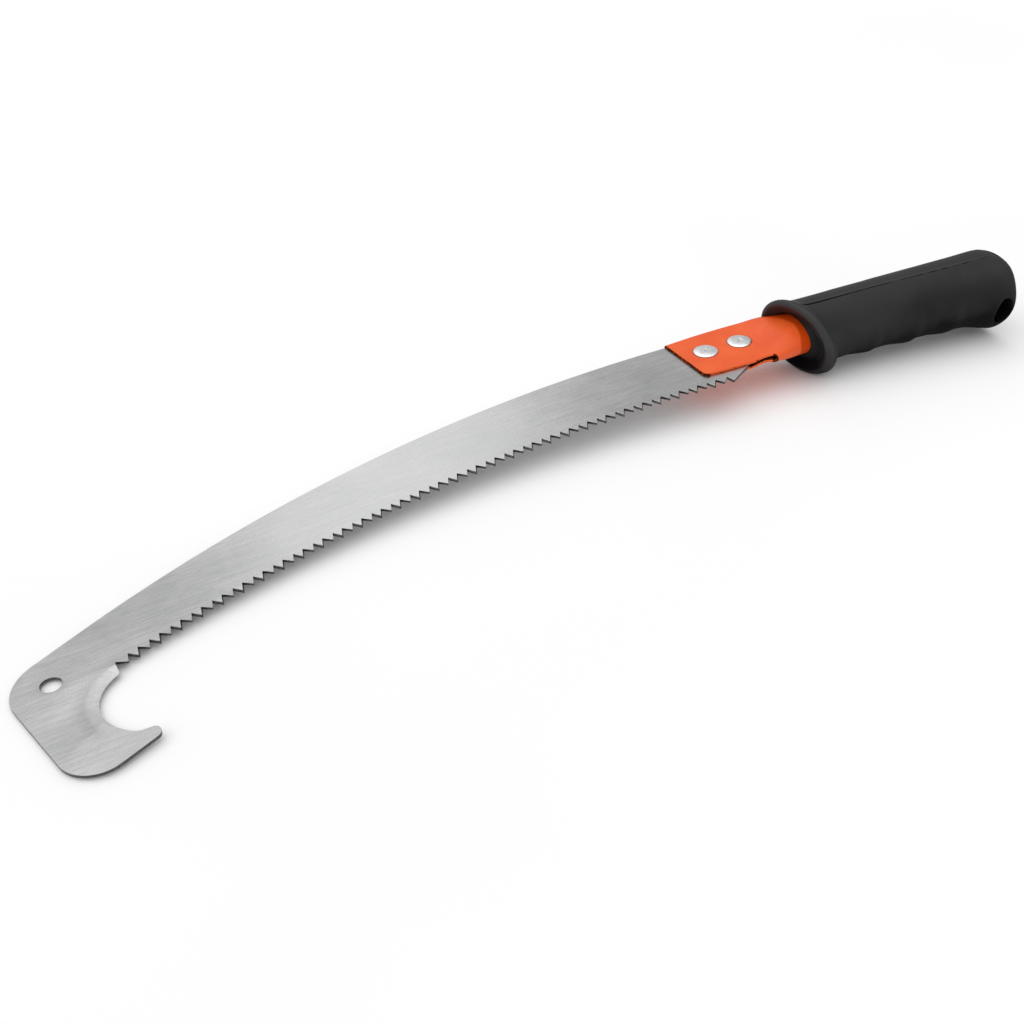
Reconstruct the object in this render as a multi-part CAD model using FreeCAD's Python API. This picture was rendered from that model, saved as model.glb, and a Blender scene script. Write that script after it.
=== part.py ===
import FreeCAD, Part
import os
from math import sin, cos, tan, pi, radians, sqrt, atan2, degrees
from FreeCAD import Vector as V

# Hooked pruning saw: a curved steel blade with a cutting hook, held by two
# rivets in the flattened end of a painted steel tube that carries a rubber grip.
#
# Frame: +X along the handle, out of its rear end; the blade points to -X;
# the teeth are on -Y, the blade's back on +Y; +Z is the blade's normal.
# Origin: centre of the tube's rear mouth.  Blade mid-plane is Z = 0.
# Millimetres.

os.makedirs("parts", exist_ok=True)

# ---- driving dimensions ---------------------------------------------------
X0 = 166.0            # working x of the tube's rear mouth (working x = X + X0)
Y0 = 7.8              # working y of the tube's axis (working y = Y0 - Y)

BLADE_T = 1.5         # blade thickness
TUBE_R = 13.70        # tube outer radius
WALL = 1.40           # tube wall
BORE_R = TUBE_R - WALL
CHEEK_TOP = BLADE_T / 2 + WALL

SPINE_C = (-25.83, 633.99)   # centre of the blade's back arc
SPINE_R = 646.85
TIP_C = (-32.65, 738.55)     # centre of the tooth-tip arc
TIP_R = 704.70
TOOTH_N = 64                 # tooth tips, the heel corner is the last
TOOTH_DEPTH = 4.45
FIRST_TIP_X = -326.10
HEEL_X = -4.11
HANG_HOLE = (-356.9, 96.2)
HANG_HOLE_R = 4.4
HOOK_C = (-321.1, 120.3)     # hook throat arc
HOOK_R = 20.9
HOOK_BEVEL = 4.6             # width of the ground band along the throat
HOOK_EDGE_T = 0.35           # thickness left at the hook's edge

# edge the slit leaves along the tooth side, ending in a rounded relief
SLIT = ((-12.0, 24.4), (-6.0, 24.85), (2.0, 25.1), (8.0, 25.25), (13.0, 25.35), (14.6, 25.2), (16.0, 24.8),
        (17.5, 24.35), (19.5, 24.0), (21.5, 23.85), (23.5, 23.95), (25.0, 24.35), (26.2, 25.05), (27.0, 25.95),
        (27.45, 27.0), (27.6, 28.2))
FRONT_X = -16.45             # the socket's front edge at y = 0
FRONT_SLANT = 0.062          # and how much it leans in x per mm of y

RIVETS = ((-2.50, 3.75), (18.06, 3.75))
RIVET_R = 2.5
RIVET_HEAD_R = 6.5
RIVET_HEAD_H = 1.15
RIVET_TAIL_R = 5.2
RIVET_TAIL_H = 1.2

GRIP_PHI = radians(-36.0)    # finger side of the grip, turned about the tube from the tooth side
GRIP_END_X = 177.0
GRIP_MOUTH_R = 12.6
MOUTH_X = 48.75              # where the grip's collar ends on the tube


def P(x, y, z=0.0):
    return V(x - X0, Y0 - y, z)


def loop(pts):
    """Closed smooth wire; every loop of the same count has the same knots, so lofts stay light."""
    bs = Part.BSplineCurve()
    bs.interpolate(Points=pts, PeriodicFlag=True, Parameters=[float(i) for i in range(len(pts) + 1)])
    return Part.Wire(bs.toShape())


def export(node, shape):
    if isinstance(shape, Part.Compound) and len(shape.Solids) == 1:
        shape = shape.Solids[0]
    print(node, "valid", shape.isValid(), "solids", len(shape.Solids), "vol %.1f" % shape.Volume)
    shape.exportStep("parts/%s.step" % node)


# ---- blade ----------------------------------------------------------------
def chain(verts):
    """Open run of edges from (x, y, fillet radius) corners."""
    n = len(verts)
    ends = []
    for i in range(n):
        x, y, r = verts[i]
        p = V(x, y, 0)
        if r <= 0 or i in (0, n - 1):
            ends.append((p, p, None))
            continue
        a = V(verts[i - 1][0], verts[i - 1][1], 0) - p
        b = V(verts[i + 1][0], verts[i + 1][1], 0) - p
        la, lb = a.Length, b.Length
        a.normalize()
        b.normalize()
        ang = a.getAngle(b)
        t = min(r / tan(ang / 2), 0.49 * la, 0.49 * lb)
        rr = t * tan(ang / 2)
        m = a + b
        m.normalize()
        c = p + m * (rr / sin(ang / 2))
        ends.append((p + a * t, p + b * t, c - m * rr))
    edges = []
    for i in range(n):
        s, e, m = ends[i]
        if m is not None:
            edges.append(Part.Arc(P(s.x, s.y), P(m.x, m.y), P(e.x, e.y)).toShape())
        if i < n - 1:
            nx = ends[i + 1][0]
            edges.append(Part.LineSegment(P(e.x, e.y), P(nx.x, nx.y)).toShape())
    return edges


def spine_y(x):
    return SPINE_C[1] - sqrt(SPINE_R ** 2 - (x - SPINE_C[0]) ** 2)


def teeth_points():
    a0 = atan2(-sqrt(TIP_R ** 2 - (FIRST_TIP_X - TIP_C[0]) ** 2), FIRST_TIP_X - TIP_C[0])
    a1 = atan2(-sqrt(TIP_R ** 2 - (HEEL_X - TIP_C[0]) ** 2), HEEL_X - TIP_C[0])
    pts = []
    step = (a1 - a0) / (TOOTH_N - 1)
    for i in range(TOOTH_N):
        a = a0 + step * i
        pts.append((TIP_C[0] + TIP_R * cos(a), TIP_C[1] + TIP_R * sin(a), 0.0))
        if i < TOOTH_N - 1:
            f = 0.5 if i < TOOTH_N - 2 else 0.72
            r = TIP_R + TOOTH_DEPTH
            pts.append((TIP_C[0] + r * cos(a + f * step), TIP_C[1] + r * sin(a + f * step), 0.25))
    return pts


def on_throat(deg):
    return HOOK_C[0] + HOOK_R * cos(radians(deg)), HOOK_C[1] + HOOK_R * sin(radians(deg))


def meet(a, b, c, d):
    x1, y1, x2, y2 = a[0], a[1], b[0], b[1]
    x3, y3, x4, y4 = c[0], c[1], d[0], d[1]
    den = (x1 - x2) * (y3 - y4) - (y1 - y2) * (x3 - x4)
    px = ((x1 * y2 - y1 * x2) * (x3 - x4) - (x1 - x2) * (x3 * y4 - y3 * x4)) / den
    py = ((x1 * y2 - y1 * x2) * (y3 - y4) - (y1 - y2) * (x3 * y4 - y3 * x4)) / den
    return px, py


BACK_END_X = -343.0                                   # the back's arc runs out tangent here
BACK_ROOT_X = 20.0
slope = (BACK_END_X - SPINE_C[0]) / sqrt(SPINE_R ** 2 - (BACK_END_X - SPINE_C[0]) ** 2)
t1 = (BACK_END_X, spine_y(BACK_END_X))
t2 = (BACK_END_X - 20.0, t1[1] - slope * 20.0)
end_a, end_b = (-373.2, 103.4), (-362.7, 138.3)       # straight end edge
bot_a, bot_b = (-339.9, 153.1), (-325.6, 146.1)       # straight lower edge of the hook
c1 = meet(t1, t2, end_a, end_b)
c2 = meet(end_a, end_b, bot_a, bot_b)
THROAT_LO, THROAT_HI = 137.0, 240.5
lo, hi, mid = on_throat(THROAT_LO), on_throat(THROAT_HI), on_throat((THROAT_LO + THROAT_HI) / 2)
front = chain([(t1[0], t1[1], 0), (c1[0], c1[1], 21.0), (c2[0], c2[1], 20.0), (-322.2, 144.45, 3.2),
               (-323.0, 139.25, 2.3), (-331.4, 139.3, 9.0), (lo[0], lo[1], 0)])
heel = chain([(hi[0], hi[1], 0), (-330.7, 100.9, 0.6), (-331.25, 95.3, 0.3)] + teeth_points()
             + [(17.5, 20.7, 2.0), (26.0, 15.5, 3.0), (26.0, -8.0, 4.0), (BACK_ROOT_X, spine_y(BACK_ROOT_X), 0)])
throat = Part.Arc(P(*lo), P(*mid), P(*hi)).toShape()
mx = (BACK_END_X + BACK_ROOT_X) / 2
back = Part.Arc(P(BACK_ROOT_X, spine_y(BACK_ROOT_X)), P(mx, spine_y(mx)), P(*t1)).toShape()
outline = Part.Wire(front + [throat] + heel + [back])
blade = Part.Face(outline).extrude(V(0, 0, BLADE_T))
blade.translate(V(0, 0, -BLADE_T / 2))
blade = blade.cut(Part.makeCylinder(HANG_HOLE_R, 6, P(HANG_HOLE[0], HANG_HOLE[1], -3), V(0, 0, 1)))
for rx, ry in RIVETS:
    blade = blade.cut(Part.makeCylinder(RIVET_R, 6, P(rx, ry, -3), V(0, 0, 1)))

# ground band along the hook's throat, on the upper face: an off-centre cone,
# so the band runs out to nothing at both ends
HOOK_OFF = 9.0
depth = BLADE_T - HOOK_EDGE_T
ca = radians(200.0)
cone_r = HOOK_R + HOOK_BEVEL - HOOK_OFF
cone = Part.makeCone(cone_r, cone_r - HOOK_BEVEL, depth,
                     P(HOOK_C[0] + HOOK_OFF * cos(ca), HOOK_C[1] + HOOK_OFF * sin(ca), BLADE_T / 2), V(0, 0, -1))
blade = blade.cut(cone)
export("blade", blade)


# ---- socket tube ----------------------------------------------------------
# (x, half height, working y of the tooth-side end arc's centre, the same for the back fold):
# a flat oval.  In front of the relief notch the slit takes the tooth-side arc away.
TUBE_ST = ((-26.0, CHEEK_TOP, 25.4, -11.8), (-14.0, CHEEK_TOP, 25.4, -12.1), (0.0, CHEEK_TOP, 25.4, -13.0),
           (10.0, CHEEK_TOP, 25.4, -13.3), (20.0, CHEEK_TOP, 25.3, -13.2), (24.0, 2.35, 24.9, -12.8),
           (28.0, 3.1, 23.8, -11.7), (32.0, 4.3, 22.3, -10.0), (36.0, 5.7, 20.5, -8.0), (40.0, 7.1, 18.5, -5.6),
           (44.0, 8.5, 16.4, -3.0), (48.0, 9.9, 14.2, 0.0), (52.0, 11.3, 12.0, 3.0), (56.0, 12.5, 9.9, 5.6),
           (59.0, 13.25, 8.6, 7.0), (62.0, TUBE_R - 0.03, Y0, Y0))


def oval(x, h, ca, cb, inset=0.0, n=96):
    r = h - inset
    q = pi * h / 2
    l2 = ca - cb
    tot = 2 * l2 + 4 * q
    pts = []
    for i in range(n):
        s = tot * i / n                # starts at the tooth-side extreme
        if s < q:
            pts.append(P(x, ca + r * cos(s / h), r * sin(s / h)))
        elif s < q + l2:
            pts.append(P(x, ca - (s - q), r))
        elif s < 3 * q + l2:
            a = (s - l2) / h
            pts.append(P(x, cb + r * cos(a), r * sin(a)))
        elif s < 3 * q + 2 * l2:
            pts.append(P(x, cb + (s - 3 * q - l2), -r))
        else:
            a = (s - 2 * l2) / h
            pts.append(P(x, ca + r * cos(a), r * sin(a)))
    return loop(pts)


outer = Part.makeLoft([oval(*st) for st in TUBE_ST], True, True)
inner = Part.makeLoft([oval(*((st if i else (st[0] - 4.0,) + st[1:])), inset=WALL) for i, st in enumerate(TUBE_ST)],
                      True, True)
xr = TUBE_ST[-1][0]
rod = Part.makeCylinder(TUBE_R, X0 - xr, P(xr, Y0), V(1, 0, 0))
bore = Part.makeCylinder(BORE_R, X0 - xr + 2, P(xr, Y0), V(1, 0, 0))


def slab(pts):
    s = Part.Face(Part.makePolygon([P(*p) for p in pts + [pts[0]]])).extrude(V(0, 0, 20))
    s.translate(V(0, 0, -10))
    return s


# slanted front edge
tube = outer.cut(slab([(-40, -40), (FRONT_X - 40 * FRONT_SLANT, -40), (FRONT_X + 40 * FRONT_SLANT, 40), (-40, 40)]))
tube = tube.cut(inner)
# slit along the tooth side, widening into its rounded relief end
tube = tube.cut(slab([(-40, SLIT[0][1])] + list(SLIT) + [(SLIT[-1][0], 44), (-40, 44)]))
# rounded lower front corner of the cheeks
cx, cy, cr = -12.25, 21.8, 2.6
nib = Part.makeBox(cr + 2, cr + 2, 20, V(cx - cr - 2 - X0, Y0 - cy - cr - 2, -10))
nib = nib.cut(Part.makeCylinder(cr, 20, P(cx, cy, -10), V(0, 0, 1)))
tube = tube.cut(nib)
for rx, ry in RIVETS:
    tube = tube.cut(Part.makeCylinder(RIVET_R, 10, P(rx, ry, -5), V(0, 0, 1)))
tube = tube.fuse(rod.cut(bore))
if len(tube.Solids) > 1:
    tube = sorted(tube.Solids, key=lambda s: -s.Volume)[0]
export("socket_tube", tube)


# ---- rivets ---------------------------------------------------------------
def rivet(rx, ry):
    z = CHEEK_TOP
    h, t = RIVET_HEAD_H, RIVET_TAIL_H
    prof = [V(0, 0, z + h - 0.12), V(0.9, 0, z + h - 0.12), V(1.15, 0, z + h)]
    pts_head = [V(3.6, 0, z + h - 0.05), V(5.6, 0, z + h * 0.72), V(RIVET_HEAD_R - 0.15, 0, z + h * 0.42)]
    e = [Part.makePolygon(prof)]
    e.append(Part.Arc(prof[-1], pts_head[0], pts_head[1]).toShape())
    rest = [pts_head[1], pts_head[2], V(RIVET_HEAD_R, 0, z + h * 0.2), V(RIVET_HEAD_R, 0, z), V(RIVET_R, 0, z),
            V(RIVET_R, 0, -z), V(RIVET_TAIL_R, 0, -z), V(RIVET_TAIL_R, 0, -z - t * 0.35),
            V(RIVET_TAIL_R * 0.86, 0, -z - t * 0.75), V(RIVET_TAIL_R * 0.6, 0, -z - t), V(0, 0, -z - t), V(0, 0, z + h - 0.12)]
    e.append(Part.makePolygon(rest))
    w = Part.Wire([x for s in e for x in s.Edges])
    s = Part.Face(w).revolve(V(0, 0, 0), V(0, 0, 1), 360)
    s.translate(P(rx, ry))
    return s


export("rivet_front", rivet(*RIVETS[0]))
export("rivet_rear", rivet(*RIVETS[1]))


# ---- grip -----------------------------------------------------------------
# Sections about the tube's axis.  Each: station on the axis, tilt (dx per mm
# towards the finger side), and radii at these angles from the finger side
ANG = (0, 22, 45, 70, 90, 108, 130, 155, 180)


def rim(k):
    return tuple((21.8 * (1 + 0.147 * cos(radians(a)))) * k[0] + k[1] for a in ANG)


GRIP_ST = (
    (46.7, .40, rim((1, -1.7))),
    (47.3, .40, rim((1, -0.5))),
    (48.6, .40, rim((1, 0.4))),
    (50.1, .40, rim((1, 0.6))),
    (51.7, .40, rim((1, -0.1))),
    (53.8, .39, (23.0, 22.4, 21.1, 20.1, 19.5, 18.9, 18.3, 18.1, 18.1)),
    (57.0, .38, (20.6, 20.3, 19.6, 19.0, 18.6, 18.0, 17.4, 17.3, 17.2)),
    (63.0, .35, (19.8, 19.7, 19.3, 18.8, 18.4, 17.7, 17.0, 17.0, 16.9)),
    (70.0, .32, (19.6, 19.6, 19.3, 18.8, 18.4, 17.6, 16.9, 16.9, 16.8)),
    (77.0, .30, (20.4, 20.3, 19.7, 19.0, 18.4, 17.6, 16.8, 16.8, 16.8)),
    (83.0, .30, (21.4, 21.2, 20.2, 19.2, 18.5, 17.6, 16.8, 16.8, 16.7)),
    (89.0, .30, (20.6, 20.6, 20.0, 19.2, 18.5, 17.6, 16.7, 16.7, 16.7)),
    (97.0, .30, (20.9, 20.9, 20.2, 19.3, 18.6, 17.6, 16.6, 16.6, 16.6)),
    (104.0, .29, (22.2, 22.0, 21.0, 19.8, 18.8, 17.6, 16.5, 16.5, 16.5)),
    (109.0, .28, (22.9, 22.7, 21.3, 20.0, 18.9, 17.6, 16.5, 16.5, 16.4)),
    (115.0, .28, (21.9, 21.9, 21.1, 20.0, 18.9, 17.6, 16.4, 16.4, 16.3)),
    (123.0, .26, (22.2, 22.2, 21.4, 20.2, 19.0, 17.6, 16.3, 16.3, 16.2)),
    (130.0, .24, (23.5, 23.3, 22.1, 20.6, 19.2, 17.6, 16.2, 16.2, 16.1)),
    (135.0, .22, (24.1, 23.9, 22.6, 20.9, 19.3, 17.6, 16.2, 16.1, 16.1)),
    (142.0, .18, (23.6, 23.6, 22.7, 21.1, 19.4, 17.6, 16.1, 16.0, 16.0)),
    (150.0, .14, (24.1, 24.2, 23.3, 21.7, 19.6, 17.6, 16.1, 15.9, 15.8)),
    (158.0, .09, (25.9, 25.9, 24.6, 22.6, 19.9, 17.6, 16.0, 15.8, 15.7)),
    (165.0, .05, (27.9, 27.8, 26.0, 23.6, 20.2, 17.6, 16.0, 15.8, 15.6)),
    (170.5, .02, (29.0, 28.9, 26.9, 24.3, 20.4, 17.6, 16.0, 15.8, 15.5)),
    (174.0, .00, (28.6, 28.5, 26.5, 24.1, 20.2, 17.3, 15.9, 15.6, 15.3)),
    (176.2, .00, (27.2, 27.1, 25.3, 23.0, 19.2, 16.6, 15.2, 14.9, 14.7)),
    (GRIP_END_X, .00, (24.8, 24.8, 23.8, 21.6, 18.2, 15.9, 14.5, 14.3, 14.2)),
)


def radius_at(rad, a):
    """Smooth radius at angle a (radians, from the finger side): periodic cubic through ANG."""
    a = abs((a + pi) % (2 * pi) - pi)
    ks = [radians(k) for k in ANG]
    n = len(ks)
    i = 0
    while i < n - 2 and a > ks[i + 1]:
        i += 1

    def kr(j):
        if j < 0:
            return -ks[-j], rad[-j]
        if j > n - 1:
            return 2 * pi - ks[2 * (n - 1) - j], rad[2 * (n - 1) - j]
        return ks[j], rad[j]
    (a0, r0), (a1, r1), (a2, r2), (a3, r3) = kr(i - 1), kr(i), kr(i + 1), kr(i + 2)
    m1 = (r2 - r0) / (a2 - a0)
    m2 = (r3 - r1) / (a3 - a1)
    h = a2 - a1
    t = (a - a1) / h
    return ((2 * t ** 3 - 3 * t ** 2 + 1) * r1 + (t ** 3 - 2 * t ** 2 + t) * h * m1
            + (-2 * t ** 3 + 3 * t ** 2) * r2 + (t ** 3 - t ** 2) * h * m2)


def grip_pt(xc, tilt, r, a):
    th = a + GRIP_PHI
    return P(xc + tilt * r * cos(a), Y0 + r * cos(th), r * sin(th))


def grip_wire(st, n=60, dr=0.0):
    xc, tilt, rad = st
    pts = []
    for i in range(n):
        a = 2 * pi * i / n
        pts.append(grip_pt(xc, tilt, radius_at(rad, a) + dr, a))
    return loop(pts)


sleeve = Part.makeLoft([grip_wire(s) for s in GRIP_ST], True, False)
# shallow dish in the guard's front face, with the collar that hugs the tube
dish = Part.makeLoft([grip_wire((46.1, .40, rim((1, -3.2)))), grip_wire((47.3, .40, rim((1, -4.8)))),
                      grip_wire((48.2, .40, rim((0.80, -2.2))))], True, False)
sleeve = sleeve.cut(dish)
sleeve = sleeve.cut(Part.makeCone(16.5, 15.9, MOUTH_X - 36.0, P(36.0, Y0), V(1, 0, 0)))
sleeve = sleeve.fuse(Part.makeCone(17.0, 18.0, 6.75, P(MOUTH_X, Y0 + 0.97, -0.70), V(1, 0, 0)))
sleeve = sleeve.cut(outer)
sleeve = sleeve.cut(rod)
sleeve = sleeve.cut(Part.makeCylinder(GRIP_MOUTH_R, 30, P(X0 - 0.01, Y0), V(1, 0, 0)))
# hang opening through the heel, on the finger side, into the mouth
HANG_A = radians(17.0)
hx, hl, hw = 169.3, 4.8, 8.4
ax = V(0, -cos(GRIP_PHI + HANG_A), sin(GRIP_PHI + HANG_A))
hole = Part.makeCylinder(1.0, 30, V(0, 0, 0), V(0, 0, 1))
m = FreeCAD.Matrix()
m.scale(hl, hw, 1.0)
hole = hole.transformGeometry(m)
rot = FreeCAD.Placement(P(hx, Y0) + ax * 9.0, FreeCAD.Rotation(V(1, 0, 0), ax.cross(V(1, 0, 0)), ax, "ZXY"))
hole.Placement = rot
sleeve = sleeve.cut(hole)
if len(sleeve.Solids) > 1:
    sleeve = sorted(sleeve.Solids, key=lambda s: -s.Volume)[0]
export("grip", sleeve)
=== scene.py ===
from math import acos, atan2, cos, exp, pi, radians, sin, sqrt

import bpy
import bmesh
from mathutils import Matrix, Vector, geometry, noise


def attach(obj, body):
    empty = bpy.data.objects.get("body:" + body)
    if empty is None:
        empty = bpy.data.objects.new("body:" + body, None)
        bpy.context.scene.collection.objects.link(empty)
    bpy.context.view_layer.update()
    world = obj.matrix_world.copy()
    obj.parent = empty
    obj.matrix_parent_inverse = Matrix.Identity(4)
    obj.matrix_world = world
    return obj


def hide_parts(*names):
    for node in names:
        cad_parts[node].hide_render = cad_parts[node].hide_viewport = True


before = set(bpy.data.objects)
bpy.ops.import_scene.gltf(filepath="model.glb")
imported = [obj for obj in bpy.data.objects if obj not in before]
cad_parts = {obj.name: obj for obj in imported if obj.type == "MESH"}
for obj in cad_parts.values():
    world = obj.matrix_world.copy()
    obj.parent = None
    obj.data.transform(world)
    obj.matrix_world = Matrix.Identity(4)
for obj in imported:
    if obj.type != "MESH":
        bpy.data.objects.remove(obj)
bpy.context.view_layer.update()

# Working coordinates, in millimetres: x runs towards the handle, y towards the
# teeth, z is the blade's normal.  The row frame is X = x - X0, Y = Y0 - y.
X0, Y0 = 166.0, 7.8


def W(x, y, z=0.0):
    return ((x - X0) / 1000.0, (Y0 - y) / 1000.0, z / 1000.0)


def smooth01(t):
    t = max(0.0, min(1.0, t))
    return t * t * (3 - 2 * t)


def lerp(a, b, t):
    return a + (b - a) * t


def curve1(xs, ys, x):
    """Smooth curve through points: cubic Hermite with limited slopes, so it never overshoots."""
    n = len(xs)
    if x <= xs[0]:
        return ys[0]
    if x >= xs[-1]:
        return ys[-1]
    i = 0
    while x > xs[i + 1]:
        i += 1

    def sl(j):
        if j <= 0:
            return (ys[1] - ys[0]) / (xs[1] - xs[0])
        if j >= n - 1:
            return (ys[-1] - ys[-2]) / (xs[-1] - xs[-2])
        a = (ys[j] - ys[j - 1]) / (xs[j] - xs[j - 1])
        b = (ys[j + 1] - ys[j]) / (xs[j + 1] - xs[j])
        return 0.0 if a * b <= 0 else 2 * a * b / (a + b)
    h = xs[i + 1] - xs[i]
    t = (x - xs[i]) / h
    m0, m1 = sl(i), sl(i + 1)
    return ((2 * t ** 3 - 3 * t ** 2 + 1) * ys[i] + (t ** 3 - 2 * t ** 2 + t) * h * m0
            + (-2 * t ** 3 + 3 * t ** 2) * ys[i + 1] + (t ** 3 - t ** 2) * h * m1)


def make(name, verts, faces, material, node, sharp=30.0, attr=None, merge=2e-6):
    me = bpy.data.meshes.new(name)
    me.from_pydata(verts, [], faces)
    if attr:
        lay = me.attributes.new("wear_and_painted_light", "FLOAT", "POINT")
        lay.data.foreach_set("value", attr)
    bm = bmesh.new()
    bm.from_mesh(me)
    bmesh.ops.remove_doubles(bm, verts=bm.verts, dist=merge)
    bmesh.ops.dissolve_degenerate(bm, edges=bm.edges, dist=1e-7)
    bmesh.ops.recalc_face_normals(bm, faces=bm.faces)
    bm.to_mesh(me)
    bm.free()
    for p in me.polygons:
        p.use_smooth = True
    me.set_sharp_from_angle(angle=radians(sharp))
    me.materials.append(material)
    ob = bpy.data.objects.new(name, me)
    bpy.context.scene.collection.objects.link(ob)
    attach(ob, "root")
    if node:
        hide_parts(node)
    return ob


# ---- materials --------------------------------------------------------------
def new_mat(name):
    m = bpy.data.materials.new(name)
    m.use_nodes = True
    nt = m.node_tree
    nt.nodes.clear()
    out = nt.nodes.new("ShaderNodeOutputMaterial")
    b = nt.nodes.new("ShaderNodeBsdfPrincipled")
    nt.links.new(b.outputs["BSDF"], out.inputs["Surface"])
    return m, nt, b


class Net:
    """Short hand for building node trees."""

    def __init__(self, nt):
        self.nt = nt

    def node(self, kind, **props):
        n = self.nt.nodes.new(kind)
        for k, v in props.items():
            setattr(n, k, v)
        return n

    def put(self, socket, value):
        if hasattr(value, "is_output") or isinstance(value, bpy.types.NodeSocket):
            self.nt.links.new(value, socket)
        else:
            socket.default_value = value

    def math(self, op, a, b=None, clamp=False):
        n = self.node("ShaderNodeMath", operation=op, use_clamp=clamp)
        self.put(n.inputs[0], a)
        if b is not None:
            self.put(n.inputs[1], b)
        return n.outputs[0]

    def vec(self, x, y, z):
        n = self.node("ShaderNodeCombineXYZ")
        for s, v in zip(n.inputs, (x, y, z)):
            self.put(s, v)
        return n.outputs[0]

    def xyz(self, v):
        n = self.node("ShaderNodeSeparateXYZ")
        self.put(n.inputs[0], v)
        return n.outputs

    def noise(self, vector, scale, detail=2.0, rough=0.5, distortion=0.0):
        n = self.node("ShaderNodeTexNoise")
        self.put(n.inputs["Vector"], vector)
        n.inputs["Scale"].default_value = scale
        n.inputs["Detail"].default_value = detail
        n.inputs["Roughness"].default_value = rough
        n.inputs["Distortion"].default_value = distortion
        return n.outputs["Fac"]

    def ramp(self, fac, stops, interp="LINEAR"):
        n = self.node("ShaderNodeValToRGB")
        self.put(n.inputs[0], fac)
        r = n.color_ramp
        r.interpolation = interp
        while len(r.elements) < len(stops):
            r.elements.new(0.5)
        for e, (p, c) in zip(r.elements, stops):
            e.position = p
            e.color = c if len(c) == 4 else (*c, 1.0)
        return n.outputs[0]

    def map(self, v, a, b, c, d, clamp=True):
        n = self.node("ShaderNodeMapRange", clamp=clamp)
        self.put(n.inputs[0], v)
        for i, q in enumerate((a, b, c, d)):
            n.inputs[1 + i].default_value = q
        return n.outputs[0]

    def mix(self, fac, a, b):
        n = self.node("ShaderNodeMix", data_type="RGBA")
        self.put(n.inputs[0], fac)
        self.put(n.inputs[6], a)
        self.put(n.inputs[7], b)
        return n.outputs[2]

    def bump(self, height, strength, distance, normal=None):
        n = self.node("ShaderNodeBump")
        n.inputs["Strength"].default_value = strength
        n.inputs["Distance"].default_value = distance
        self.put(n.inputs["Height"], height)
        if normal is not None:
            self.put(n.inputs["Normal"], normal)
        return n.outputs[0]

    def attr(self, name):
        n = self.node("ShaderNodeAttribute", attribute_name=name)
        return n.outputs["Fac"]

    def coord(self):
        return self.node("ShaderNodeTexCoord").outputs["Object"]


SPINE_C = (-25.83, 633.99)
SPINE_R = 646.85
HANG_HOLE, HANG_HOLE_R = (-356.9, 96.2), 4.4
HOOK_C, HOOK_R = (-321.1, 120.3), 20.9


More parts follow.
